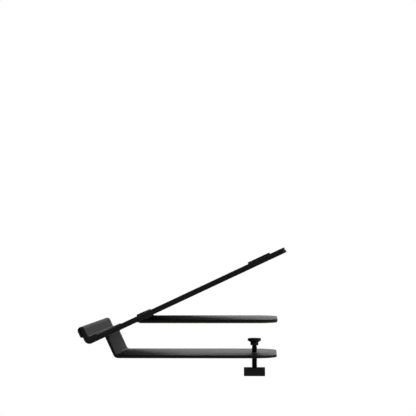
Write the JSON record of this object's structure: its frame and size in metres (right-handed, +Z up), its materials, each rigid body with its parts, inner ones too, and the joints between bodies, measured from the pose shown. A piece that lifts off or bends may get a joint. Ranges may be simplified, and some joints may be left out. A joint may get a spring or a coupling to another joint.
{
  "type": "laptop stand",
  "caption": "Clamp-on laptop stand: a sloping black steel tray with a rubber-capped lip on two flat arms that grip a board, tightened from below by a screw with a swivel pad and T-bar.",
  "frame": {"origin": "centre of the cork face that rests on the board's top, half way across the stand", "axes": "+X towards the tray's rear edge and the arms' free ends, +Y across the stand, +Z up; -Z is the cork face's outward normal"},
  "size_m": [0.2204, 0.225, 0.1443],
  "materials": {
    "powder_coat": "satin black powder coat",
    "black_steel": "black-finished turned steel",
    "screw_steel": "black-oxide steel",
    "ball_brass": "turned brass",
    "handle_plastic": "fine moulded texture",
    "mat_rubber": "matt fine-grained mat",
    "bumper_rubber": "matt extruded rubber",
    "strip_rubber": "matt sheet rubber",
    "pad_rubber": "matt rubber",
    "cork": "pressed granulated cork"
  },
  "bodies": {
    "frame": {"tray_plate": "powder_coat", "tray_mat": "mat_rubber", "front_bumper": "bumper_rubber", "centre_grip_strip": "strip_rubber", "rear_grip_strip": "strip_rubber", "upper_arm": "powder_coat", "cork_pad": "cork", "lower_arm": "powder_coat", "thread_bush": "screw_steel", "weld_beads": "powder_coat"},
    "ball": {"swivel_ball": "ball_brass"},
    "screw": {"clamp_spindle": "screw_steel", "handle_bar": "handle_plastic", "handle_set_screw": "screw_steel"},
    "pad": {"pad_cup": "black_steel", "pad_face": "pad_rubber"}
  },
  "joints": [
    {"name": "clamp_travel", "type": "slide", "parent": "frame", "child": "ball", "axis": [0, 0, 1], "range_m": [-0.006, 0.011]},
    {"name": "clamp_turn", "type": "hinge", "parent": "ball", "child": "screw", "pos_m": [0.05, 0, -0.02595], "axis": [0, 0, 1], "range_deg": [-2160, 3960]},
    {"name": "pad_tilt", "type": "hinge", "parent": "ball", "child": "pad", "pos_m": [0.05, 0, -0.02595], "axis": [0, 1, 0], "range_deg": [-8, 8]}
  ],
  "couplings": [
    {"joint": "clamp_travel", "follows": "clamp_turn", "m_per_rad": 0.00015915}
  ]
}
